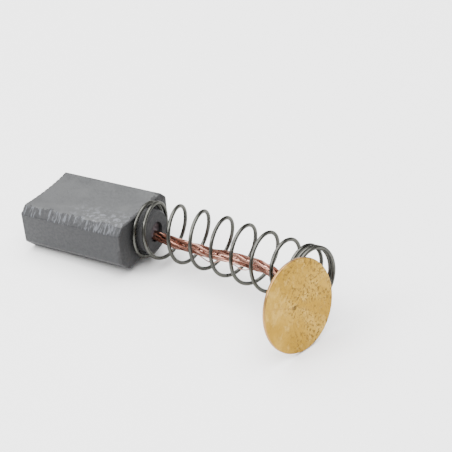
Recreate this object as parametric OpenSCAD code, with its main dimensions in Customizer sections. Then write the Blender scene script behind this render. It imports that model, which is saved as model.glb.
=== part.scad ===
// Spring-loaded carbon brush for a small universal motor, as it lies on a flat surface.
// A pressed carbon block carries a compression spring on a short boss. A stranded copper
// pigtail is tamped into the block, runs through the spring and is welded to a brass disc.
//
// The pieces are drawn in the block's own frame: X runs from the wear face to the disc,
// with x = 0 on the face that carries the boss, Y across the width and Z through the
// thickness. as_it_lies() then tips the whole brush onto its two points of rest: the wear
// end's lower edge and the rim of the disc.

/* [Carbon block] */
// Length of the block, from the wear face to the face with the boss
block_l = 15; // [10:0.5:24]
// Width of the block
block_w = 11; // [10:0.5:16]
// Thickness of the block
block_t = 6.3; // [6:0.1:10]
// Bevel along the two upper long edges
top_bevel = 1.0; // [0.3:0.1:1.4]
// Bevel along the two lower long edges
bottom_bevel = 1.4; // [0.3:0.1:1.8]
// Radius of the commutator that the wear face beds onto
wear_radius = 32; // [18:1:60]
// Spacing of the bedding grooves across the wear face
groove_pitch = 0.85; // [0.6:0.05:1.6]
// Width of one bedding groove
groove_w = 0.4; // [0.2:0.05:0.5]
// Depth of one bedding groove
groove_depth = 0.08; // [0.05:0.01:0.3]

/* [Boss and tamping hole] */
// Diameter of the boss that centres the spring
boss_d = 5.5; // [4.6:0.1:6]
// Height of the boss above the end face
boss_h = 1.8; // [1:0.1:2.6]
// Height of the boss above the middle of the thickness
boss_rise = 0.4; // [0:0.1:0.4]
// Bevel round the end of the boss
boss_bevel = 0.25; // [0.1:0.05:0.4]
// Diameter of the hole that the pigtail is tamped into
hole_d = 2.6; // [2.2:0.1:3.2]
// Depth of the hole below the end face
hole_depth = 5; // [3:0.5:8]
// How far the tamped powder stays below the mouth of the hole
tamp_recess = 0.8; // [0.3:0.1:1.5]

/* [Pigtail] */
// Diameter of one strand
strand_d = 0.42; // [0.3:0.02:0.44]
// Distance from the middle of the pigtail to the middle of an outer strand
lay_radius = 0.52; // [0.5:0.01:0.56]
// Number of strands laid round the core strand
outer_strands = 6; // [4:1:6]
// Length in which an outer strand goes once round
lay_length = 16; // [12:0.5:20]

/* [Spring] */
// Diameter of the spring wire
wire_d = 0.48; // [0.3:0.02:0.54]
// Coil diameter at the middle of the wire
coil_d = 6.92; // [6.6:0.02:7.6]
// Reach of the relaxed spring from the end face to the middle of its last coil
spring_reach = 25.1; // [20:0.05:30]
// Nearly closed turns on the boss
boss_turns = 1; // [0.5:0.25:2]
// Nearly closed turns at the disc
disc_turns = 2; // [1:0.25:2.5]
// Evenly spaced turns between the ends
free_turns = 6.45; // [4:0.05:7]
// Turns over which the spacing opens up at each end
ramp_turns = 0.65; // [0.5:0.05:1.5]
// Where the wire starts on the boss, as an angle from the far side over the top
coil_start = 300; // [0:1:359]
// Gap between the nearly closed turns
closed_gap = 0.05; // [0.03:0.01:0.2]
// Sideways slope with which the bowed spring leaves the boss
bow_slope = 0.22; // [-0.3:0.01:0.3]
// Upward slope with which it leaves the boss
bow_climb = 0.03; // [-0.1:0.01:0.1]
// Sideways place of the last coil
end_side = -2.14; // [-3:0.01:3]
// Height of the last coil above the boss
end_rise = 0.57; // [-1:0.01:1]

/* [Terminal disc] */
// Diameter of the disc
disc_d = 11.3; // [10:0.1:14]
// Thickness of the disc
disc_t = 0.4; // [0.3:0.05:0.8]
// Rounding round the rim of the disc
rim_round = 0.12; // [0.05:0.01:0.14]
// Turn of the disc about the vertical
disc_yaw = -14.5; // [-20:0.1:20]
// Lean of the disc's outer face upwards
disc_lean = 9.9; // [0:0.1:15]
// How far the middle of the disc lies from the middle of the last coil
disc_slip = 4.6; // [0:0.05:5]
// Direction of that slip in the plane of the disc
slip_angle = 17; // [0:1:60]

/* [Welded tail] */
// Length of the flattened tail on the back of the disc
tail_l = 4.9; // [4:0.1:6]
// Width of the flattened tail
tail_w = 2.8; // [2:0.1:3.2]
// Thickness of the flattened tail
tail_t = 0.35; // [0.2:0.05:0.5]
// How far the tail reaches past the middle of the disc
tail_past = 1.3; // [0.5:0.1:1.6]
// Where the strands run into the tail, measured from the middle of the disc
landing = 2.5; // [2:0.1:2.8]

/* [Clearances] */
// Gap left between pieces that touch on the real brush
seat_gap = 0.03; // [0.02:0.01:0.06]

/* [Hidden] */
strand_names = ["strand_core", "strand_1", "strand_2", "strand_3", "strand_4", "strand_5",
                "strand_6"];

// Facets of the swept wires: sides of a section, and sections to a turn or to a pigtail
wire_sides = 8;
sections_per_turn = 26;
strand_sides = 8;
strand_sections = 34;
round_fn = 96;

// ---- Vectors and smooth curves ----
function unit(v) = v / norm(v);
// Point on the cubic from a to b whose slopes at the two ends are slope_a and slope_b
function cubic(a, slope_a, b, slope_b, span, u) =
    (2*u^3 - 3*u^2 + 1)*a + (u^3 - 2*u^2 + u)*span*slope_a
    + (3*u^2 - 2*u^3)*b + (u^3 - u^2)*span*slope_b;
// Smooth curve through a list of points, t counting from one point to the next
function knot(points, i) = points[max(0, min(len(points) - 1, i))];
function through(points, t) =
    let (i = min(floor(t), len(points) - 2), u = t - i,
         p0 = knot(points, i - 1), p1 = knot(points, i),
         p2 = knot(points, i + 1), p3 = knot(points, i + 2))
    0.5 * (2*p1 + (p2 - p0)*u + (2*p0 - 5*p1 + 4*p2 - p3)*u^2
           + (3*p1 - p0 - 3*p2 + p3)*u^3);
// Triangles of a closed tube over rings of points
function tube_faces(rings, sides) = concat(
    [[for (s = [0:sides - 1]) s]],
    [for (r = [0:rings - 2], s = [0:sides - 1])
        let (a = r*sides + s, b = r*sides + (s + 1) % sides)
        [a, a + sides, b + sides, b]],
    [[for (s = [sides - 1:-1:0]) (rings - 1)*sides + s]]);
// Ring of points round the middle of a section, square to its direction
function ring(middle, along, radius, sides) =
    let (across = unit(cross([0, 0, 1], along)), up = cross(along, across))
    [for (s = [0:sides - 1])
        let (a = 360 * s / sides)
        middle + radius * (cos(a) * across + sin(a) * up)];
module swept_tube(path, radius, sides) {
    last = len(path) - 1;
    rings = [for (i = [0:last])
        ring(path[i], unit(path[min(i + 1, last)] - path[max(i - 1, 0)]), radius, sides)];
    polyhedron([for (r = rings) each r], tube_faces(last + 1, sides), convexity = 10);
}

// ---- Where the disc lies ----
disc_axis = [cos(disc_lean)*cos(disc_yaw), cos(disc_lean)*sin(disc_yaw), sin(disc_lean)];
disc_side = [-sin(disc_yaw), cos(disc_yaw), 0];
disc_up = cross(disc_axis, disc_side);
spring_end = [spring_reach, end_side, boss_rise + end_rise];
// From the middle of the disc towards the middle of the last coil
slip_way = cos(slip_angle)*disc_side + sin(slip_angle)*disc_up;
disc_back = spring_end + (wire_d/2 + seat_gap + tail_t)*disc_axis - disc_slip*slip_way;
disc_middle = disc_back + disc_t/2*disc_axis;

// ---- How the brush lies ----
// How far the wear face is hollowed at a distance y from its middle
function hollow(y) = (block_w^2/4 - y^2) / (2*wear_radius);
heel_x = block_l - hollow(block_w/2 - bottom_bevel);
// Half the extent of the tilted disc along a direction
function disc_reach(way) =
    disc_d/2 * sqrt(1 - (disc_axis*way)^2) + disc_t/2 * abs(disc_axis*way);
// Tip at which the wear end's lower edge and the disc's rim are equally low
function up_at(tip) = [sin(tip), 0, cos(tip)];
function next_tip(tip) =
    asin((disc_reach(up_at(tip)) - (disc_middle.z + block_t/2)*cos(tip))
         / (heel_x + disc_middle.x));
function settle(tip, rounds) = rounds < 1 ? tip : settle(next_tip(tip), rounds - 1);
first_guess = 4;
tip_rounds = 8;
tip = settle(first_guess, tip_rounds);
forward = [cos(tip), 0, -sin(tip)];
lift = heel_x*sin(tip) + block_t/2*cos(tip);
low_x = -block_l*cos(tip) - (block_t/2 - top_bevel)*sin(tip);
high_x = disc_middle*forward + disc_reach(forward);
low_y = min(-block_w/2, disc_middle.y - disc_reach([0, 1, 0]));
high_y = max(block_w/2, disc_middle.y + disc_reach([0, 1, 0]));
module as_it_lies() {
    translate([-(low_x + high_x)/2, -(low_y + high_y)/2, lift])
        rotate([0, -tip, 0])
            children();
}

// ---- Carbon block ----
groove_count = 2*floor((block_w/2 - groove_w) / groove_pitch) + 1;
function groove_y(k) = (k - (groove_count - 1)/2) * groove_pitch;
function wear_point(y, depth) = [-block_l + hollow(y) + depth, y];
module plan_outline() {
    polygon(concat(
        [[0, block_w/2], [-block_l, block_w/2]],
        [for (k = [groove_count - 1:-1:0], edge = [1, 0, -1])
            wear_point(groove_y(k) + edge*groove_w/2, edge == 0 ? groove_depth : 0)],
        [[-block_l, -block_w/2], [0, -block_w/2]]));
}
module end_outline() {
    y = block_w/2;
    z = block_t/2;
    polygon([[y - top_bevel, z], [y, z - top_bevel], [y, bottom_bevel - z],
             [y - bottom_bevel, -z], [bottom_bevel - y, -z], [-y, bottom_bevel - z],
             [-y, z - top_bevel], [top_bevel - y, z]]);
}
module along_x() { rotate([90, 0, 90]) children(); }
module at_boss() { translate([0, 0, boss_rise]) rotate([0, 90, 0]) children(); }
boss_root = -block_l/3;
module boss() {
    rotate_extrude($fn = round_fn)
        polygon([[0, boss_root], [boss_d/2, boss_root], [boss_d/2, boss_h - boss_bevel],
                 [boss_d/2 - boss_bevel, boss_h], [0, boss_h]]);
}
module carbon_block() {
    color("dimgray")
        difference() {
            union() {
                intersection() {
                    linear_extrude(block_t, center = true) plan_outline();
                    translate([-block_l, 0, 0]) along_x() linear_extrude(block_l) end_outline();
                }
                at_boss() boss();
            }
            at_boss() translate([0, 0, -hole_depth])
                cylinder(d = hole_d, h = hole_depth + 2*boss_h, $fn = round_fn);
        }
}

// ---- Tamped powder round the pigtail ----
pigtail_d = 2*lay_radius + strand_d;
tamp_top = boss_h - tamp_recess;
// Powder below the buried end of the pigtail
plug_floor = 0.45;
module tamping_plug() {
    color("dimgray")
        at_boss() difference() {
            translate([0, 0, seat_gap - hole_depth])
                cylinder(d = hole_d - seat_gap, h = hole_depth + tamp_top, $fn = round_fn);
            translate([0, 0, seat_gap - hole_depth + plug_floor])
                cylinder(d = pigtail_d + 2*seat_gap, h = hole_depth + boss_h, $fn = round_fn);
        }
}

// ---- Pigtail ----
landing_point = disc_back + landing*slip_way - (tail_t + 2*seat_gap)*disc_axis;
// Straight end of the pigtail before the landing
lead_in = 1.4;
// Route of the pigtail: [share of the spring's reach, sideways, height above the boss]
slack = [[0.08, 0.1, -0.2], [0.15, 0.1, -0.8], [0.27, 0.1, -1.2], [0.39, 0, -1.3],
         [0.5, -0.1, -1.1], [0.62, -0.4, -1.0], [0.72, -0.9, -1.0], [0.8, -1.7, -1.2]];
pigtail_route = concat(
    [[plug_floor + 2*seat_gap - hole_depth, 0, boss_rise], [tamp_top - 1, 0, boss_rise],
     [tamp_top, 0, boss_rise]],
    [for (p = slack) [p.x*spring_reach, p.y, p.z + boss_rise]],
    [landing_point - lead_in*disc_axis, landing_point]);
pigtail_points = [for (i = [0:strand_sections])
    through(pigtail_route, (len(pigtail_route) - 1) * i/strand_sections)];
function run(i) = i == 0 ? 0 : run(i - 1) + norm(pigtail_points[i] - pigtail_points[i - 1]);
pigtail_run = [for (i = [0:strand_sections]) run(i)];
function beside(i, angle) =
    let (last = strand_sections,
         along = i == last ? disc_axis
               : unit(pigtail_points[i + 1] - pigtail_points[max(i - 1, 0)]),
         across = unit(cross([0, 0, 1], along)), up = cross(along, across))
    cos(angle)*across + sin(angle)*up;
module strand(number) {
    turn = 360 * number / outer_strands;
    radius = number == 0 ? 0 : lay_radius;
    color("peru")
        swept_tube([for (i = [0:strand_sections])
            pigtail_points[i] + radius*beside(i, turn + 360*pigtail_run[i]/lay_length)],
            strand_d/2, strand_sides);
}

// ---- Spring ----
// Advance of the coil at each end and between, in one turn
closed_pitch = wire_d + closed_gap;
boss_seat = wire_d/2 + seat_gap;
free_pitch = (spring_reach - boss_seat - closed_pitch*(boss_turns + disc_turns + ramp_turns))
             / (free_turns + ramp_turns);
all_turns = boss_turns + disc_turns + free_turns + 2*ramp_turns;
// Distance advanced after a number of turns from a closed end, through its ramp
function opening(turns, closed) =
    let (ramp = max(0, min(ramp_turns, turns - closed)), free = max(0, turns - closed - ramp_turns))
    closed_pitch*(min(turns, closed) + ramp) + (free_pitch - closed_pitch)*ramp^2/ramp_turns/2
    + free_pitch*free;
function advance(turns) =
    turns < boss_turns + ramp_turns + free_turns
        ? boss_seat + opening(turns, boss_turns)
        : spring_reach - opening(all_turns - turns, disc_turns);
// Middle line of the bowed spring
function bow(x) =
    let (u = x / spring_reach)
    [x,
     cubic(0, bow_slope, end_side, disc_axis.y/disc_axis.x, spring_reach, u),
     boss_rise + cubic(0, bow_climb, end_rise, disc_axis.z/disc_axis.x, spring_reach, u)];
// The turns on the boss stay flat on the end face, and the free turns lean into the bow
lean_in = 2*free_pitch;
step = 0.01;
function leaning(x) =
    let (slope = (bow(x + step) - bow(x - step)) / (2*step),
         ease = max(0, min(1, (x - boss_h) / lean_in)))
    unit([1, ease*slope.y, ease*slope.z]);
function coil_point(turns) =
    let (x = advance(turns), along = leaning(x),
         side = unit(cross([0, 0, 1], along)), up = cross(along, side),
         angle = coil_start + 360*turns)
    bow(x) + coil_d/2*(cos(angle)*side + sin(angle)*up);
coil_sections = ceil(all_turns * sections_per_turn);
module compression_spring() {
    color("darkgray")
        swept_tube([for (i = [0:coil_sections]) coil_point(all_turns*i/coil_sections)],
                   wire_d/2, wire_sides);
}

// ---- Terminal disc and the tail welded to it ----
// Local X is the disc's axis, with x = 0 on its back face
module on_disc() {
    translate(disc_back) rotate([0, -disc_lean, disc_yaw]) children();
}
module terminal_disc() {
    edge = disc_d/2 - rim_round;
    color("goldenrod")
        on_disc() rotate([0, 90, 0]) rotate_extrude($fn = round_fn)
            polygon(concat([[0, 0]],
                [for (a = [-90:15:0]) [edge + rim_round*cos(a), rim_round*(1 + sin(a))]],
                [for (a = [0:15:90]) [edge + rim_round*cos(a), disc_t - rim_round*(1 - sin(a))]],
                [[0, disc_t]]));
}
module tail_outline() {
    corner = tail_w/4;
    translate([-tail_past, -tail_w/2]) {
        translate([corner, 0]) square([tail_l - 2*corner, tail_w]);
        translate([0, corner]) square([tail_l, tail_w - 2*corner]);
        for (x = [corner, tail_l - corner], y = [corner, tail_w - corner])
            translate([x, y]) circle(corner, $fn = round_fn);
    }
}
module welded_tail() {
    color("saddlebrown")
        on_disc() rotate([slip_angle, 0, 0]) rotate([0, -90, 0]) rotate(90)
            linear_extrude(tail_t) tail_outline();
}

module strand_at(number) {
    if (number <= outer_strands) strand(number);
}

as_it_lies() carbon_block();
as_it_lies() tamping_plug();
for (number = [0:len(strand_names) - 1])
    as_it_lies() strand_at(number);
as_it_lies() compression_spring();
as_it_lies() terminal_disc();
as_it_lies() welded_tail();
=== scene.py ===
import math

import bmesh
import bpy
from mathutils import Matrix, Vector, noise


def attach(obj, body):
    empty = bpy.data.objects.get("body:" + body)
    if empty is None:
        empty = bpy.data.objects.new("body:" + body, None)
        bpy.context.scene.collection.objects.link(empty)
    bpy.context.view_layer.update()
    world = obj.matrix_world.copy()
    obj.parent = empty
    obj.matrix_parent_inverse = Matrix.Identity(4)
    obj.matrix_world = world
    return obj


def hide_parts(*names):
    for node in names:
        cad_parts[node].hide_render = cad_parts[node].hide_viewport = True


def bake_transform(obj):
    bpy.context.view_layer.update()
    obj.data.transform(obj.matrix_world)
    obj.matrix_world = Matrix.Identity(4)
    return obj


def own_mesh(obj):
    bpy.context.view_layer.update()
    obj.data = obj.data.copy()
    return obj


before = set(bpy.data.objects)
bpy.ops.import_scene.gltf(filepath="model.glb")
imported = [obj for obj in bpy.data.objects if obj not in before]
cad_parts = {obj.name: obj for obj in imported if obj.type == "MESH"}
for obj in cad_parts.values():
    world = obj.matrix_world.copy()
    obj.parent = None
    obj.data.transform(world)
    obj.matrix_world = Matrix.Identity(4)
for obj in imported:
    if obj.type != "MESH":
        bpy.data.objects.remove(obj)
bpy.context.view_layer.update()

# ---- Camera ----
# A long lens from the front right, about a third of the way up from level, so that the block
# shows its top, its near side and the end that carries the spring.
camera = bpy.data.objects.new("camera", bpy.data.cameras.new("camera"))
bpy.context.scene.collection.objects.link(camera)
camera.data.lens = 111.5
camera.data.sensor_width = 36
camera.data.clip_start = 0.01
camera.data.clip_end = 10
camera.location = (0.076909, -0.118698, 0.10041)
camera.rotation_euler = [math.radians(turn) for turn in (56.951, 1.08, 29.514)]
bpy.context.scene.camera = camera

# ---- Carbon block ----
# Carbon and graphite powder pressed in a die and baked, then ground on its broad faces and
# sides. The end with the boss stays as it was pressed, and is painted darker than the ground
# faces, partly for the pressed skin and partly as painted shade. The wear face is bedded to the
# commutator, which scores it along the commutator's axis.
block_length = 0.015
block_width = 0.011
block_thickness = 0.0063
top_bevel = 0.001
wear_radius = 0.032
edge_rounding = 0.00018
tip = math.radians(3.7606)
boss_foot = Vector((-0.00598272, 0.0033419, 0.00411326))
# Turns a place in the block's own frame, with x = 0 on the end face, into the shared frame
lay_down = Matrix.Translation(boss_foot) @ Matrix.Rotation(-tip, 4, "Y")
into_block = lay_down.inverted()


def linear(hex_colour):
    """An sRGB hex colour as linear red, green, blue and alpha."""
    parts = [int(hex_colour[i:i + 2], 16) / 255 for i in (1, 3, 5)]
    return [p / 12.92 if p <= 0.04045 else ((p + 0.055) / 1.055) ** 2.4 for p in parts] + [1]


def add(tree, kind, inputs, **settings):
    """Adds a node with its settings, and a value or a link on each input. A node that is given
    as an input is linked from its first output in use."""
    node = tree.nodes.new("ShaderNode" + kind)
    for name, value in settings.items():
        setattr(node, name, value)
    for name, value in inputs.items():
        if isinstance(value, bpy.types.Node):
            value = next(output for output in value.outputs if output.enabled)
        if isinstance(value, bpy.types.NodeSocket):
            tree.links.new(value, node.inputs[name])
        else:
            node.inputs[name].default_value = value
    return node


def new_finish(name):
    """A new material, its empty node tree and the coordinates that its patterns follow."""
    material = bpy.data.materials.new(name)
    material.use_nodes = True
    tree = material.node_tree
    tree.nodes.clear()
    return material, tree, add(tree, "TexCoord", {}).outputs["Object"]


def surfaced(tree, inputs):
    """Ends a material with its one shader."""
    shader = add(tree, "BsdfPrincipled", inputs)
    add(tree, "OutputMaterial", {"Surface": shader})


def tinted(tree, tone, hex_colour, share, limit=1.0):
    """The tone, taken towards another colour by a share, and only as far as the limit."""
    share = add(tree, "Math", {0: share, 1: limit}, operation="MULTIPLY")
    return add(tree, "Mix", {0: share, 6: tone, 7: linear(hex_colour)}, data_type="RGBA")


def lumps_of(size_mm):
    """Scale of a noise, on coordinates in metres, whose lumps are about size_mm across."""
    return 500 / size_mm


def piece_from(name, shape, finish, smooth_to=0):
    """An object in one finish, made from a bmesh, which this frees. Its edges are smooth where
    they turn by fewer degrees than smooth_to."""
    mesh = bpy.data.meshes.new(name)
    shape.to_mesh(mesh)
    shape.free()
    mesh.materials.clear()
    mesh.materials.append(finish)
    if smooth_to:
        for face in mesh.polygons:
            face.use_smooth = True
        mesh.set_sharp_from_angle(angle=math.radians(smooth_to))
    piece = bpy.data.objects.new(name, mesh)
    bpy.context.scene.collection.objects.link(piece)
    return piece


# Carbon graphite is a dull dark grey. Grinding leaves it a little paler, with open pores.
carbon, tree, place = new_finish("ground carbon graphite")
local = add(tree, "Mapping", {"Vector": place, "Location": into_block.to_translation(),
                              "Rotation": into_block.to_euler()})
along, across, through = add(tree, "SeparateXYZ", {"Vector": local}).outputs
# Every range eases in and out. Its inputs 1 and 2 are where it starts and ends, and 3 and 4 are
# what comes of them, 0 and 1 if nothing is said. A mask there keeps the range within the mask.
eased = {"interpolation_type": "SMOOTHSTEP"}
# Powder grains of about 0.15 mm, coarser than the real ones, so that they show
fine = add(tree, "TexNoise", {"Vector": local, "Scale": lumps_of(0.16), "Detail": 3,
                              "Roughness": 0.6})
pale_grains = add(tree, "MapRange", {"Value": fine, 1: 0.3, 2: 0.72}, **eased)
base = tinted(tree, linear("#303132"), "#3d3e3f", pale_grains)
patches = add(tree, "TexNoise", {"Vector": local, "Scale": lumps_of(2.6), "Detail": 3,
                                 "Roughness": 0.55})
patchy = add(tree, "MapRange", {"Value": patches, 1: 0.4, 2: 0.62, 4: 0.4}, **eased)
base = tinted(tree, base, "#4d4e4e", patchy)
# Painted shade: the sides are painted darker than the top face, as less light falls on them,
# and the top is painted a little darker towards the wear face, where its sheen falls off
top_side = add(tree, "MapRange", {"Value": through, 1: block_thickness / 2 - 1.1 * top_bevel,
                                  2: block_thickness / 2}, **eased)
sides = add(tree, "Math", {0: 1.0, 1: top_side}, operation="SUBTRACT")
base = tinted(tree, base, "#17181b", sides)
top_shade = add(tree, "MapRange", {"Value": along, 1: -0.0135, 2: -0.004, 3: 0.3, 4: 0}, **eased)
base = tinted(tree, base, "#252628", top_shade, top_side)
# Pores about 0.6 mm apart, where a coarser grain was torn out in grinding
porous = add(tree, "TexNoise", {"Vector": local, "Scale": lumps_of(2.2), "Detail": 1,
                                "Roughness": 0.5})
with_pores = add(tree, "MapRange", {"Value": porous, 1: 0.5, 2: 0.6, 4: top_side}, **eased)
from_pore = add(tree, "TexVoronoi", {"Vector": local, "Scale": 1 / 0.0006}, feature="F1")
pore = add(tree, "MapRange", {"Value": from_pore, 1: 0.1, 2: 0.24, 3: with_pores, 4: 0}, **eased)
base = tinted(tree, base, "#2b2c2f", pore, 0.8)
# A torn patch on the top, towards the near corner at the end face
near_side = add(tree, "MapRange", {"Value": across, 1: -0.0005, 2: -0.0038, 4: top_side}, **eased)
torn_patch = add(tree, "MapRange", {"Value": along, 1: -0.0105, 2: -0.004, 4: near_side}, **eased)
gritty = add(tree, "TexNoise", {"Vector": local, "Scale": lumps_of(0.3), "Detail": 3,
                                "Roughness": 0.65})
pale_grit = add(tree, "MapRange", {"Value": gritty, 1: 0.5, 2: 0.62, 4: 0.5}, **eased)
base = tinted(tree, base, "#6c6e75", pale_grit, torn_patch)
dark_grit = add(tree, "MapRange", {"Value": gritty, 1: 0.47, 2: 0.37, 4: 0.5}, **eased)
base = tinted(tree, base, "#26272b", dark_grit, torn_patch)
# The two upper bevels, torn by the die: fine streaks across them, ragged towards the top face
ragged = add(tree, "TexNoise", {
    "Vector": add(tree, "Mapping", {"Vector": local, "Scale": (1, 0.5, 0.5)}),
    "Scale": lumps_of(0.5), "Detail": 3, "Roughness": 0.6})
frayed = add(tree, "MapRange", {"Value": ragged, 1: 0.45, 2: 0.75, 3: -0.00003, 4: 0.00055},
             **eased)
from_middle = add(tree, "Math", {0: across}, operation="ABSOLUTE")
outward = add(tree, "Math", {0: from_middle, 1: frayed}, operation="ADD")
over_sides = add(tree, "MapRange", {"Value": through, 1: block_thickness / 2 - 1.08 * top_bevel,
                                    2: block_thickness / 2 - 0.97 * top_bevel}, **eased)
on_bevel = add(tree, "MapRange", {"Value": outward, 1: block_width / 2 - top_bevel,
                                  2: block_width / 2 - 0.9 * top_bevel, 4: over_sides}, **eased)
streaks = add(tree, "TexNoise", {
    "Vector": add(tree, "Mapping", {"Vector": local, "Scale": (1, 0.16, 0.16)}),
    "Scale": lumps_of(0.15), "Detail": 2, "Roughness": 0.7})
lumps = add(tree, "TexNoise", {
    "Vector": add(tree, "Mapping", {"Vector": local, "Scale": (1, 0.4, 0.4)}),
    "Scale": lumps_of(0.5), "Detail": 2, "Roughness": 0.6})
torn = add(tree, "Mix", {0: 0.14, 2: streaks, 3: lumps})
# Painted shade and highlights: the bevels are painted darker than the top, partly for the torn
# skin and partly as painted shade, and their paler and darker streaks are painted highlights and
# shade on the torn ridges, which the bump raises as well
base = tinted(tree, base, "#1a1b1e", on_bevel, 0.9)
bright = add(tree, "MapRange", {"Value": torn, 1: 0.52, 2: 0.6, 4: 0.65}, **eased)
base = tinted(tree, base, "#54575d", bright, on_bevel)
dull = add(tree, "MapRange", {"Value": torn, 1: 0.5, 2: 0.42, 4: 0.85}, **eased)
base = tinted(tree, base, "#151619", dull, on_bevel)
# The wear face, a hollow with the commutator's radius, glazed and dark in its grooves
squared = add(tree, "Math", {0: across, 1: across}, operation="MULTIPLY")
hollowed = add(tree, "Math", {0: squared, 1: 1 / (2 * wear_radius), 2: along},
               operation="MULTIPLY_ADD")
worn_in = add(tree, "Math", {0: hollowed, 1: block_length - block_width**2 / (8 * wear_radius)},
              operation="ADD")
worn = add(tree, "MapRange", {"Value": worn_in, 1: 0.0001, 2: 0.0002, 3: 1, 4: 0}, **eased)
base = tinted(tree, base, "#2d2e31", worn, 0.7)
scores = add(tree, "TexNoise", {
    "Vector": add(tree, "Mapping", {"Vector": local, "Scale": (0.1, 1, 0.06)}),
    "Scale": lumps_of(0.12), "Detail": 2, "Roughness": 0.7})
scored = add(tree, "MapRange", {"Value": scores, 1: 0.54, 2: 0.68, 4: 0.35}, **eased)
base = tinted(tree, base, "#5b5c60", scored, worn)
grooved = add(tree, "MapRange", {"Value": worn_in, 1: 0.00001, 2: 0.00005, 4: 0.85}, **eased)
base = tinted(tree, base, "#1c1c1f", grooved, worn)
# As-pressed end face, boss and hole, painted darker than the ground faces, partly for the
# pressed skin and partly as painted shade, with nicks in the edge
nicks = add(tree, "TexNoise", {"Vector": local, "Scale": lumps_of(0.5), "Detail": 3,
                               "Roughness": 0.65})
nicked = add(tree, "MapRange", {"Value": nicks, 1: 0.42, 2: 0.66, 4: 0.0006}, **eased)
to_end = add(tree, "Math", {0: along, 1: nicked}, operation="ADD")
pressed_and_shaded = add(tree, "MapRange", {"Value": to_end, 1: -0.00016, 2: -0.0001}, **eased)
# The far corner is chipped down to the same dark carbon
from_chip = add(tree, "VectorMath", {0: local, 1: (-0.0001, 0.0049, 0.0028)},
                operation="DISTANCE")
chip = add(tree, "MapRange", {"Value": from_chip, 1: 0.0009, 2: 0.0013, 3: 1, 4: 0}, **eased)
pressed_and_shaded = add(tree, "Math", {0: pressed_and_shaded, 1: chip}, operation="MAXIMUM")
base = tinted(tree, base, "#1f1f20", pressed_and_shaded, 0.94)
dry = add(tree, "MapRange", {"Value": fine, 1: 0.3, 2: 0.7, 3: 0.46, 4: 0.62}, **eased)
for mask, change in ((worn, -0.15), (on_bevel, 0.12), (pressed_and_shaded, 0.25)):
    dry = add(tree, "Math", {0: mask, 1: change, 2: dry}, operation="MULTIPLY_ADD")
relief = add(tree, "Math", {0: fine, 1: 0.3}, operation="MULTIPLY")
for mask, pattern, rise in ((torn_patch, gritty, 1.2), (on_bevel, torn, 2.2), (pore, 1, -1)):
    part = add(tree, "Math", {0: mask, 1: pattern}, operation="MULTIPLY")
    relief = add(tree, "Math", {0: part, 1: rise, 2: relief}, operation="MULTIPLY_ADD")
surfaced(tree, {"Base Color": base, "Metallic": 0.0, "IOR": 1.5, "Roughness": dry,
                "Normal": add(tree, "Bump", {"Height": relief, "Strength": 0.4,
                                             "Distance": 0.00006})})

shape = bmesh.new()
shape.from_mesh(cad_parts["carbon_block"].data)
bmesh.ops.remove_doubles(shape, verts=shape.verts, dist=1e-6)
bmesh.ops.dissolve_limit(shape, angle_limit=math.radians(1), verts=shape.verts,
                         edges=shape.edges)
groove_reach = -block_length + 0.0009
last_groove = (block_width / 2 - 0.00146, block_width / 2 - 0.00103)
shortest_edge = 0.0008
smallest_flat = 4e-6


def is_run_out(edge):
    """True for the outermost grooves, which run out at the block's corners."""
    ends = [into_block @ v.co for v in edge.verts]
    return (all(e.x < groove_reach and last_groove[0] < abs(e.y) < last_groove[1] for e in ends)
            and abs((edge.verts[0].co - edge.verts[1].co).normalized().z) > 0.9)


def is_outer_edge(edge):
    """True for the long edges, the corners and the end face's edges, and not for grooves."""
    ends = [into_block @ v.co for v in edge.verts]
    if len(edge.link_faces) != 2 or edge.calc_face_angle(0) < math.radians(25):
        return False
    at_corner = all(abs(e.y) > block_width / 2 - 1e-5 for e in ends)
    on_grooves = all(e.x < groove_reach for e in ends)
    return (at_corner or not on_grooves) and (ends[0] - ends[1]).length > shortest_edge


run_out = [edge for edge in shape.edges if is_run_out(edge)]
bmesh.ops.dissolve_edges(shape, edges=run_out, use_verts=True)
outer = [edge for edge in shape.edges if is_outer_edge(edge)]
bmesh.ops.bevel(shape, geom=outer, offset=edge_rounding, offset_type="OFFSET", segments=3,
                profile=0.5, affect="EDGES", clamp_overlap=False, material=-1)
block = piece_from("pressed_block", shape, carbon)
block.data.attributes.remove(block.data.attributes["custom_normal"])
# The broad faces are flat and only the rounded edges, the boss and the hole are smooth
for face in block.data.polygons:
    face.use_smooth = face.area < smallest_flat
block.data.set_sharp_from_angle(angle=math.radians(32))
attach(block, "brush")
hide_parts("carbon_block")

# ---- Tamped powder ----
# Loose carbon powder rammed round the buried end of the pigtail, which holds it in the hole.
# It is coarser and duller than the block, and heaped a little where the wires come out.
# From here to the welded tail, shapes are worked out in millimetres and finishes in metres.
boss_rise = 0.4
hole_diameter = 2.6
hole_depth = 5
tamp_top = 1.0
tamp_extra = 0.3
heap_height = 0.3
heap_radius = 0.75
crumb_height = 0.12
gap = 0.03
# Where the pigtail leaves the powder, sideways and up from the middle of the hole
mouth = (-0.1, -0.5)
powder, tree, place = new_finish("tamped carbon powder")
crumbs = add(tree, "TexNoise", {"Vector": place, "Scale": lumps_of(0.3), "Detail": 3,
                                "Roughness": 0.7})
pale_crumbs = add(tree, "MapRange", {"Value": crumbs, 1: 0.35, 2: 0.65}, **eased)
# Painted light: the powder is painted paler than its own dark colour, standing in for light in
# the shadowed hole
surfaced(tree, {"Base Color": tinted(tree, linear("#3a3236"), "#52484b", pale_crumbs),
                "Metallic": 0.0, "IOR": 1.5, "Roughness": 0.85,
                "Normal": add(tree, "Bump", {"Height": crumbs, "Strength": 0.8,
                                             "Distance": 0.0001})})

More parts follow.
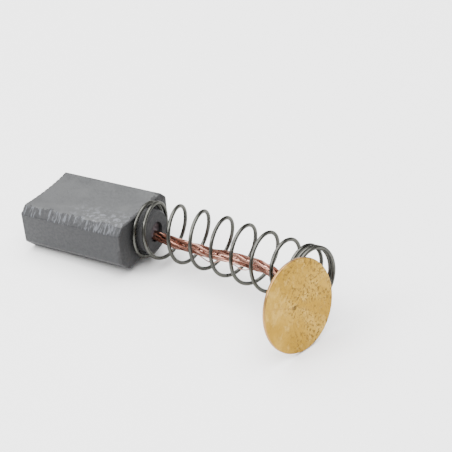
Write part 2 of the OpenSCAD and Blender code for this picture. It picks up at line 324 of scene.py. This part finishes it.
shape = bmesh.new()
powder_radius = hole_diameter / 2 - gap / 2
ring_count = 14
outline = [(powder_radius * ring / ring_count, tamp_top + tamp_extra)
           for ring in range(ring_count + 1)]
outline += [(powder_radius, gap - hole_depth), (0, gap - hole_depth)]
corners = [shape.verts.new((radius, 0, height)) for radius, height in outline]
sides = [shape.edges.new(pair) for pair in zip(corners, corners[1:])]
bmesh.ops.spin(shape, geom=corners + sides, axis=(0, 0, 1), cent=(0, 0, 0),
               angle=2 * math.pi, steps=48, use_merge=True, use_duplicate=False)
bmesh.ops.remove_doubles(shape, verts=shape.verts, dist=1e-4)
bmesh.ops.recalc_face_normals(shape, faces=shape.faces)
for crumb in shape.verts:
    if crumb.co.z > 0:
        # The boss stands along the block, so the piece's x is the block's downward z
        apart = math.hypot(crumb.co.x + mouth[1], crumb.co.y - mouth[0])
        inner = 1 - (math.hypot(crumb.co.x, crumb.co.y) / powder_radius) ** 4
        crumb.co.z += inner * (heap_height * math.exp(-(apart / heap_radius) ** 2)
                               + crumb_height * noise.noise(crumb.co * 2.2))
bmesh.ops.scale(shape, vec=(0.001, 0.001, 0.001), verts=shape.verts)
bmesh.ops.transform(shape, matrix=lay_down @ Matrix.Translation((0, 0, boss_rise / 1000))
                    @ Matrix.Rotation(math.pi / 2, 4, "Y"), verts=shape.verts)
plug = piece_from("tamped_powder", shape, powder, smooth_to=50)
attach(plug, "brush")
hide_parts("tamping_plug")

# ---- Spring ----
# Hard-drawn steel wire coiled cold, with nearly closed turns at both ends. It stands bowed,
# because the disc that it pushes lies off to one side. The closed turns keep their shape and
# only the open ones shorten, so the wire is shown as three lengths.
wire_diameter = 0.48
coil_diameter = 6.92
spring_reach = 25.1
boss_turns = 1.0
disc_turns = 2.0
free_turns = 6.45
ramp_turns = 0.65
coil_start = math.radians(300)
closed_pitch = wire_diameter + 0.05
boss_seat = wire_diameter / 2 + 0.03
boss_height = 1.8
# The bow: its slopes at the boss, sideways and up, and how far to the side and up it ends
bow_slope = 0.22
bow_climb = 0.03
end_side = -2.14
end_rise = 0.57
disc_yaw = math.radians(-14.5)
disc_lean = math.radians(9.9)
disc_axis = Vector((math.cos(disc_lean) * math.cos(disc_yaw),
                    math.cos(disc_lean) * math.sin(disc_yaw), math.sin(disc_lean)))
free_pitch = ((spring_reach - boss_seat
               - closed_pitch * (boss_turns + disc_turns + ramp_turns))
              / (free_turns + ramp_turns))
all_turns = boss_turns + disc_turns + free_turns + 2 * ramp_turns


def cubic(start, start_slope, end, end_slope, reach, share):
    """Point on the cubic between two ends with given slopes."""
    return ((2 * share**3 - 3 * share**2 + 1) * start
            + (share**3 - 2 * share**2 + share) * reach * start_slope
            + (3 * share**2 - 2 * share**3) * end + (share**3 - share**2) * reach * end_slope)


def bow(x):
    """Middle line of the bowed spring, in the block's frame, in millimetres."""
    share = x / spring_reach
    return Vector((x,
                   cubic(0, bow_slope, end_side, disc_axis.y / disc_axis.x, spring_reach, share),
                   boss_rise + cubic(0, bow_climb, end_rise, disc_axis.z / disc_axis.x,
                                     spring_reach, share)))


def opening(turns, closed):
    """Advance after a number of turns from a closed end, through the turn that opens up."""
    ramp = max(0, min(ramp_turns, turns - closed))
    free = max(0, turns - closed - ramp_turns)
    return (closed_pitch * (min(turns, closed) + ramp)
            + (free_pitch - closed_pitch) * ramp**2 / ramp_turns / 2 + free_pitch * free)


def coil_point(turns):
    """Point on the middle of the spring's wire, in the shared frame, in metres."""
    if turns < boss_turns + ramp_turns + free_turns:
        x = boss_seat + opening(turns, boss_turns)
    else:
        x = spring_reach - opening(all_turns - turns, disc_turns)
    slope = (bow(x + 0.01) - bow(x - 0.01)) / 0.02
    ease = max(0, min(1, (x - boss_height) / (2 * free_pitch)))
    ahead = Vector((1, ease * slope.y, ease * slope.z)).normalized()
    side = Vector((0, 0, 1)).cross(ahead).normalized()
    up = ahead.cross(side)
    angle = coil_start + 2 * math.pi * turns
    point = bow(x) + coil_diameter / 2 * (math.cos(angle) * side + math.sin(angle) * up)
    return lay_down @ (point / 1000)


def wire_through(name, lines, radius, rounds, finish):
    """A mesh of round wire along one or more lines of points, closed at its ends."""
    curve = bpy.data.curves.new(name + "_line", "CURVE")
    curve.dimensions = "3D"
    curve.bevel_depth = radius
    curve.bevel_resolution = rounds
    curve.use_fill_caps = True
    for line in lines:
        spline = curve.splines.new("POLY")
        spline.points.add(len(line) - 1)
        for point, place in zip(spline.points, line):
            point.co = (*place, 1)
        spline.use_smooth = True
    drawn = bpy.data.objects.new(name + "_line", curve)
    bpy.context.scene.collection.objects.link(drawn)
    bpy.context.view_layer.update()
    seen = drawn.evaluated_get(bpy.context.evaluated_depsgraph_get())
    mesh = bpy.data.meshes.new_from_object(seen)
    bpy.data.objects.remove(drawn)
    mesh.name = name
    mesh.materials.clear()
    mesh.materials.append(finish)
    mesh.set_sharp_from_angle(angle=math.radians(50))
    piece = bpy.data.objects.new(name, mesh)
    bpy.context.scene.collection.objects.link(piece)
    return piece


# Steel drawn through a die and relieved of stress in an oven, which leaves it a dark, even grey
steel, tree, place = new_finish("hard-drawn spring steel")
tarnish = add(tree, "TexNoise", {"Vector": place, "Scale": lumps_of(1.4), "Detail": 3,
                                 "Roughness": 0.6})
paler = add(tree, "MapRange", {"Value": tarnish, 1: 0.35, 2: 0.65}, **eased)
tone = tinted(tree, linear("#40403d"), "#51514d", paler)
specks = add(tree, "TexNoise", {"Vector": place, "Scale": lumps_of(0.2), "Detail": 2,
                                "Roughness": 0.6})
speckled = add(tree, "MapRange", {"Value": specks, 1: 0.56, 2: 0.7, 4: 0.15}, **eased)
tone = tinted(tree, tone, "#33322b", speckled)
rubbed = add(tree, "MapRange", {"Value": tarnish, 1: 0.3, 2: 0.7, 3: 0.24, 4: 0.32}, **eased)
surfaced(tree, {"Base Color": tone, "Metallic": 1.0, "Roughness": rubbed,
                "Specular Tint": linear("#c4c4c2")})

steps_per_turn = 48
# The turns that open up at each end keep their shape too, so that no turn cuts its neighbour
boss_held = boss_turns + ramp_turns
disc_held = all_turns - disc_turns - ramp_turns
lengths = {"boss_coils": (0, boss_held), "open_coils": (boss_held, disc_held),
           "disc_coils": (disc_held, all_turns)}
coils = {}
for name, (first, last) in lengths.items():
    steps = round((last - first) * steps_per_turn)
    turns = [first + (last - first) * step / steps for step in range(steps + 1)]
    coils[name] = wire_through(name, [[coil_point(t) for t in turns]],
                               wire_diameter / 2000, 5, steel)
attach(coils["boss_coils"], "brush")
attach(coils["open_coils"], "brush")
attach(coils["disc_coils"], "terminal")
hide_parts("compression_spring")
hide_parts("compression_spring")
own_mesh(coils["open_coils"])

# ---- Pigtail ----
# Bare copper rope: six strands laid round a core strand, each of seven drawn wires. It hangs
# a little slack through the spring, so the strands have opened up and some wires stand off.
# Where it leaves the hole it is drawn together and carries carbon dust, and inside the hole its
# strands are painted dark as painted shade as well as dust.
strands_round = 6
lay_radius = 0.5
lay_length = 16
wires_round = 6
fine_wire = 0.14
core_spread = 0.22
fine_lay = 8
looseness = 0.25
plug_floor = 0.45
straight_end = 1.0
disc_slip = 4.6
slip_angle = math.radians(17)
tail_thickness = 0.35
landing = 2.5
lead_in = 1.4
disc_side = Vector((-math.sin(disc_yaw), math.cos(disc_yaw), 0))
disc_up = disc_axis.cross(disc_side)
slip_way = math.cos(slip_angle) * disc_side + math.sin(slip_angle) * disc_up
spring_end = Vector((spring_reach, end_side, boss_rise + end_rise))
disc_back = (spring_end + (wire_diameter / 2 + gap + tail_thickness) * disc_axis
             - disc_slip * slip_way)
landing_point = disc_back + landing * slip_way - (tail_thickness + 2 * gap) * disc_axis
# Points on the slack rope: share of the spring's reach, then sideways and up from its start
slack = [(0.08, 0, -0.6), (0.15, 0.05, -0.95), (0.27, 0.1, -1.2), (0.39, 0, -1.3),
         (0.5, -0.1, -1.1), (0.62, -0.4, -1.0), (0.72, -0.9, -1.0), (0.8, -1.7, -1.2)]
route = [Vector((plug_floor + 2 * gap - hole_depth, 0, boss_rise)),
         Vector((tamp_top - straight_end, mouth[0], boss_rise + mouth[1])),
         Vector((tamp_top, mouth[0], boss_rise + mouth[1]))]
route += [Vector((share * spring_reach, side, rise + boss_rise)) for share, side, rise in slack]
route += [landing_point - lead_in * disc_axis, landing_point]


def along_route(share):
    """Point on the smooth curve through the pigtail's route, at a share of it from 0 to 1."""
    place = share * (len(route) - 1)
    before = min(math.floor(place), len(route) - 2)
    past = place - before
    a, b, c, d = (route[max(0, min(len(route) - 1, before + step))] for step in (-1, 0, 1, 2))
    return 0.5 * (2 * b + (c - a) * past + (2 * a - 5 * b + 4 * c - d) * past**2
                  + (3 * b - a - 3 * c + d) * past**3)


# Drawing leaves copper bright and pinkish, and handling tarnishes it in lengths
copper, tree, place = new_finish("bare drawn copper")
lengthwise = add(tree, "Mapping", {"Vector": place, "Scale": (0.25, 1, 1)})
wear = add(tree, "TexNoise", {"Vector": lengthwise, "Scale": lumps_of(0.6), "Detail": 3,
                              "Roughness": 0.6})
rubbed = add(tree, "MapRange", {"Value": wear, 1: 0.36, 2: 0.62}, **eased)
tone = tinted(tree, linear("#845a4c"), "#bd9384", rubbed)
tarnish = add(tree, "TexNoise", {"Vector": lengthwise, "Scale": lumps_of(0.24), "Detail": 2,
                                 "Roughness": 0.6})
tarnished = add(tree, "MapRange", {"Value": tarnish, 1: 0.54, 2: 0.68, 4: 0.35}, **eased)
tone = tinted(tree, tone, "#7a4a3c", tarnished)
from_end = add(tree, "SeparateXYZ", {
    "Vector": add(tree, "Mapping", {"Vector": place, "Location": into_block.to_translation(),
                                    "Rotation": into_block.to_euler()})})
# Carbon dust and painted shade: the strands are painted dark inside the hole, where its shadow
# falls, as well as dusted
dust_and_shade_strength = add(tree, "MapRange", {"Value": tarnish, 1: 0.3, 2: 0.6, 3: 0.97, 4: 0.88}, **eased)
dust_and_hole_shade = add(tree, "MapRange", {"Value": from_end, 1: 0.0011, 2: 0.0021, 3: dust_and_shade_strength, 4: 0}, **eased)
tone = tinted(tree, tone, "#241b1a", dust_and_hole_shade)
drawn = add(tree, "MapRange", {"Value": tarnish, 1: 0.3, 2: 0.7, 3: 0.17, 4: 0.32}, **eased)
surfaced(tree, {"Base Color": tone, "Metallic": 1.0,
                "Roughness": add(tree, "Math", {0: dust_and_hole_shade, 1: 0.35, 2: drawn},
                                 operation="MULTIPLY_ADD")})

sections = 190
rope = [along_route(s / sections) for s in range(sections + 1)]
run = [0.0]
for before, after in zip(rope, rope[1:]):
    run.append(run[-1] + (after - before).length)
# Wires that stand off the rope, by strand and wire: how far out of the hole, and by how much
strays = {(1, 3): (4.6, 0.4), (5, 2): (9.3, 0.5), (3, 5): (14.2, 0.55)}
stray_reach = 1.2
sag = Vector((0, -0.35, -1)).normalized()
tightest = 0.8
tight_reach = 2.4


def beside(line, s, angle):
    """Direction across a line of points at an angle, in its point s."""
    ahead = (line[min(s + 1, len(line) - 1)] - line[max(s - 1, 0)]).normalized()
    side = Vector((0, 0, 1)).cross(ahead).normalized()
    return math.cos(angle) * side + math.sin(angle) * ahead.cross(side)


def drawn_together(x):
    """Share of the rope's full radius at a distance from the block's end face."""
    share = max(0, min(1, (x - 2 * tamp_top) / tight_reach))
    return tightest + (1 - tightest) * share * share * (3 - 2 * share)


for number in range(strands_round + 1):
    middle = []
    for s, centre in enumerate(rope):
        loose = 1 + looseness * noise.noise(Vector((run[s] / 4, 7.3 * number, 0)))
        radius = lay_radius * loose * drawn_together(centre.x) if number else 0
        turn = 2 * math.pi * (number / strands_round + run[s] / lay_length)
        middle.append(centre + radius * beside(rope, s, turn))
    lines = []
    for wire in range(wires_round + 1):
        line = []
        out, by = strays.get((number, wire), (0, 0))
        for s, centre in enumerate(middle):
            loose = 1 + looseness * noise.noise(
                Vector((run[s] / 2.5, 3.1 * wire, 9.7 * number)))
            radius = (fine_wire if number else core_spread) * loose if wire else 0
            turn = 2 * math.pi * (wire / wires_round - run[s] / fine_lay)
            bulge = by * math.exp(-((run[s] - hole_depth - out) / stray_reach) ** 2)
            point = centre + radius * beside(middle, s, turn) + bulge * sag
            line.append(lay_down @ (point / 1000))
        lines.append(line)
    name = "copper_strand_%d" % number if number else "copper_core"
    strand = wire_through(name, lines, fine_wire / 2000, 1, copper)
    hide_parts("strand_%d" % number if number else "strand_core")
    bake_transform(strand)

# ---- Terminal disc ----
# Blanked from rolled brass sheet and tumbled, which leaves a soft shine, fine pits that are
# thicker to one side, a small dent near the middle and a faint scratch. Its back is stained
# brown by the heat of the weld.
disc_diameter = 0.0113
disc_thickness = 0.0004
# Turns a place in the disc's own frame, with x = 0 on its back, into the shared frame
on_disc = lay_down @ Matrix.Translation(disc_back / 1000) @ Matrix(
    (disc_axis, disc_side, disc_up)).transposed().to_4x4()
into_disc = on_disc.inverted()
brass, tree, place = new_finish("tumbled rolled brass")
local = add(tree, "Mapping", {"Vector": place, "Location": into_disc.to_translation(),
                              "Rotation": into_disc.to_euler()})
from_back, sideways, _ = add(tree, "SeparateXYZ", {"Vector": local}).outputs
mottle = add(tree, "TexNoise", {"Vector": local, "Scale": lumps_of(1.8), "Detail": 4,
                                "Roughness": 0.65})
mottled = add(tree, "MapRange", {"Value": mottle, 1: 0.36, 2: 0.64}, **eased)
tone = tinted(tree, linear("#917023"), "#a28134", mottled)
blotches = add(tree, "TexNoise", {"Vector": local, "Scale": lumps_of(0.55), "Detail": 3,
                                  "Roughness": 0.6})
blotchy = add(tree, "MapRange", {"Value": blotches, 1: 0.5, 2: 0.66, 4: 0.45}, **eased)
tone = tinted(tree, tone, "#c8a555", blotchy)
# Pits, in crowds and thicker to one side
thicker = add(tree, "MapRange", {"Value": sideways, 1: -0.0035, 2: -0.0005, 3: 0.2}, **eased)
pits = add(tree, "TexNoise", {"Vector": local, "Scale": lumps_of(0.2), "Detail": 3,
                              "Roughness": 0.7})
pitted = add(tree, "MapRange", {"Value": pits, 1: 0.51, 2: 0.58, 4: thicker}, **eased)
crowd = add(tree, "TexNoise", {"Vector": local, "Scale": lumps_of(1.1), "Detail": 2,
                               "Roughness": 0.5})
crowded = add(tree, "MapRange", {"Value": crowd, 1: 0.35, 2: 0.55, 3: 0.4}, **eased)
pitted = add(tree, "Math", {0: pitted, 1: crowded}, operation="MULTIPLY")
tone = tinted(tree, tone, "#664c1c", pitted, 0.85)
# Single darker spots about 1.1 mm apart
spotted = add(tree, "MapRange", {"Value": sideways, 1: -0.0035, 2: -0.001}, **eased)
from_spot = add(tree, "TexVoronoi", {"Vector": local, "Scale": 1 / 0.0011}, feature="F1")
spot = add(tree, "MapRange", {"Value": from_spot, 1: 0.08, 2: 0.16, 3: spotted, 4: 0}, **eased)
tone = tinted(tree, tone, "#54421f", spot, 0.7)
# A small dent near the middle, and a faint straight scratch beside it
from_dent = add(tree, "VectorMath", {0: local, 1: (disc_thickness, -0.00076, 0.00011)},
                operation="DISTANCE")
dent = add(tree, "MapRange", {"Value": from_dent, 1: 0.00017, 2: 0.00034, 3: 1, 4: 0}, **eased)
# Painted shade: the dent is painted dark in its hollow
tone = tinted(tree, tone, "#4a3a1e", dent, 0.85)
over_scratch = add(tree, "VectorMath", {0: local, 1: (0, 0.41, 0.912)}, operation="DOT_PRODUCT")
over_scratch = add(tree, "Math", {0: over_scratch, 1: 0.00022}, operation="ADD")
from_scratch = add(tree, "Math", {0: over_scratch}, operation="ABSOLUTE")
faint = add(tree, "MapRange", {"Value": sideways, 1: -0.0006, 2: -0.0016, 3: 0.12, 4: 0.3},
            **eased)
scratch = add(tree, "MapRange", {"Value": from_scratch, 1: 0.00004, 2: 0.00013, 3: faint, 4: 0},
              **eased)
tone = tinted(tree, tone, "#8f6b35", scratch)
# The rim, sheared and a little coppery
outward = add(tree, "VectorMath", {
    0: add(tree, "Mapping", {"Vector": local, "Scale": (0, 1, 1)})}, operation="LENGTH")
rim = add(tree, "MapRange", {"Value": outward, 1: disc_diameter / 2 - 0.00012,
                             2: disc_diameter / 2 - 0.00003}, **eased)
tone = tinted(tree, tone, "#a37c5c", rim, 0.55)
# Heat stain on the back, round the middle of the weld
to_weld = 0.00115
from_weld = add(tree, "VectorMath", {0: local, 1: (0, to_weld * math.cos(slip_angle),
                                                   to_weld * math.sin(slip_angle))},
                operation="DISTANCE")
uneven = add(tree, "MapRange", {"Value": mottle, 1: 0.3, 2: 0.7, 3: -0.0008, 4: 0.0008}, **eased)
heat = add(tree, "Math", {0: from_weld, 1: uneven}, operation="ADD")
on_back = add(tree, "MapRange", {"Value": from_back, 1: 0.0001, 2: 0.0003, 3: 1, 4: 0}, **eased)
stain = add(tree, "MapRange", {"Value": heat, 1: 0.0024, 2: 0.0042, 3: on_back, 4: 0}, **eased)
tone = tinted(tree, tone, "#5f3f24", stain, 0.7)
tumbled = add(tree, "MapRange", {"Value": blotches, 1: 0.3, 2: 0.7, 3: 0.3, 4: 0.46}, **eased)
relief = add(tree, "Math", {0: blotches, 1: 0.5}, operation="MULTIPLY")
for mask, rise in ((pitted, -0.6), (dent, -1.5)):
    relief = add(tree, "Math", {0: mask, 1: rise, 2: relief}, operation="MULTIPLY_ADD")
surfaced(tree, {"Base Color": tone, "Metallic": 1.0, "Roughness": tumbled,
                "Normal": add(tree, "Bump", {"Height": relief, "Strength": 0.35,
                                             "Distance": 0.00006})})
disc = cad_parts["terminal_disc"]
disc.data.materials.clear()
disc.data.materials.append(brass)

# ---- Welded tail ----
# The pigtail's end, pressed flat on the disc by the welding electrode. The strands still show
# as ribs, and the heat has browned it, apart from a bright spot where the electrode sat.
tail_length = 4.9
tail_width = 2.8
tail_past = 1.3
corner_pull = 0.2
rib_depth = 0.1
dent_depth = 0.22
# Turns a place in the tail's own frame, with z = 0 on the disc's back, into the shared frame
on_tail = lay_down @ Matrix.Translation(disc_back / 1000) @ Matrix(
    (slip_way, disc_axis.cross(slip_way), disc_axis)).transposed().to_4x4()
into_tail = on_tail.inverted()
browned, tree, place = new_finish("heat-browned copper")
local = add(tree, "Mapping", {"Vector": place, "Location": into_tail.to_translation(),
                              "Rotation": into_tail.to_euler()})
scale = add(tree, "TexNoise", {"Vector": local, "Scale": lumps_of(0.7), "Detail": 3,
                               "Roughness": 0.6})
scaly = add(tree, "MapRange", {"Value": scale, 1: 0.35, 2: 0.65}, **eased)
tone = tinted(tree, linear("#4d3123"), "#85573d", scaly)
from_spot = add(tree, "VectorMath", {0: local, 1: (-0.0005, 0, -0.0003)}, operation="DISTANCE")
uneven = add(tree, "MapRange", {"Value": scale, 1: 0.3, 2: 0.7, 3: -0.0003, 4: 0.0003}, **eased)
under_electrode = add(tree, "Math", {0: from_spot, 1: uneven}, operation="ADD")
bare = add(tree, "MapRange", {"Value": under_electrode, 1: 0.0004, 2: 0.0008, 3: 0.9, 4: 0},
           **eased)
tone = tinted(tree, tone, "#e3b19c", bare)
surfaced(tree, {"Base Color": tone, "Metallic": 0.85, "Roughness": 0.5,
                "Normal": add(tree, "Bump", {"Height": scale, "Strength": 0.4,
                                             "Distance": 0.0001})})

shape = bmesh.new()
bmesh.ops.create_grid(shape, x_segments=56, y_segments=36, size=1)
for corner in shape.verts:
    u, v = corner.co.x, corner.co.y
    edge = max(abs(u), abs(v))
    shoulder = math.sqrt(max(0, 1 - edge**7))
    ribs = rib_depth * math.cos(2 * math.pi * (2.1 * v + 0.5 * u + 0.2 * math.sin(3 * u)))
    dents = dent_depth * noise.noise(Vector((2.2 * u, 1.6 * v, 4.1)))
    corner.co = (tail_length / 2 - tail_past
                 + tail_length / 2 * u * math.sqrt(1 - corner_pull * v * v),
                 tail_width / 2 * v * math.sqrt(1 - corner_pull * u * u),
                 -tail_thickness * shoulder * (0.92 + ribs * shoulder + dents))
rim_edges = [edge for edge in shape.edges if edge.is_boundary]
bmesh.ops.holes_fill(shape, edges=rim_edges, sides=0)
bmesh.ops.recalc_face_normals(shape, faces=shape.faces)
bmesh.ops.scale(shape, vec=(0.001, 0.001, 0.001), verts=shape.verts)
bmesh.ops.transform(shape, matrix=on_tail, verts=shape.verts)
tail = piece_from("pressed_tail", shape, browned, smooth_to=60)
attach(tail, "terminal")
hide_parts("welded_tail")

# ---- Table and light ----
# White paper under a large soft window overhead, with a fainter one from the left.
paper, tree, _ = new_finish("white paper")
surfaced(tree, {"Base Color": linear("#f4f4f4"), "Roughness": 0.9})
shape = bmesh.new()
bmesh.ops.create_grid(shape, x_segments=1, y_segments=1, size=3)
floor = piece_from("table_top", shape, paper)

world = bpy.data.worlds.new("daylight")
bpy.context.scene.world = world
world.use_nodes = True
sky = world.node_tree.nodes["Background"]
sky.inputs["Color"].default_value = linear("#ffffff")
sky.inputs["Strength"].default_value = 0.75


def window(name, centre, aim, width, height, power):
    """A soft rectangular light at centre, turned to aim."""
    lamp = bpy.data.objects.new(name, bpy.data.lights.new(name, "AREA"))
    lamp.data.shape = "RECTANGLE"
    lamp.data.size = width
    lamp.data.size_y = height
    lamp.data.energy = power
    lamp.location = centre
    lamp.rotation_euler = (Vector(aim) - Vector(centre)).to_track_quat("-Z", "Y").to_euler()
    bpy.context.scene.collection.objects.link(lamp)


window("overhead", (-0.08, -0.02, 0.5), (0, 0, 0), 0.9, 0.9, 16.5)
window("left", (-0.26, -0.3, 0.33), (0, 0, 0), 0.16, 0.16, 1.6)
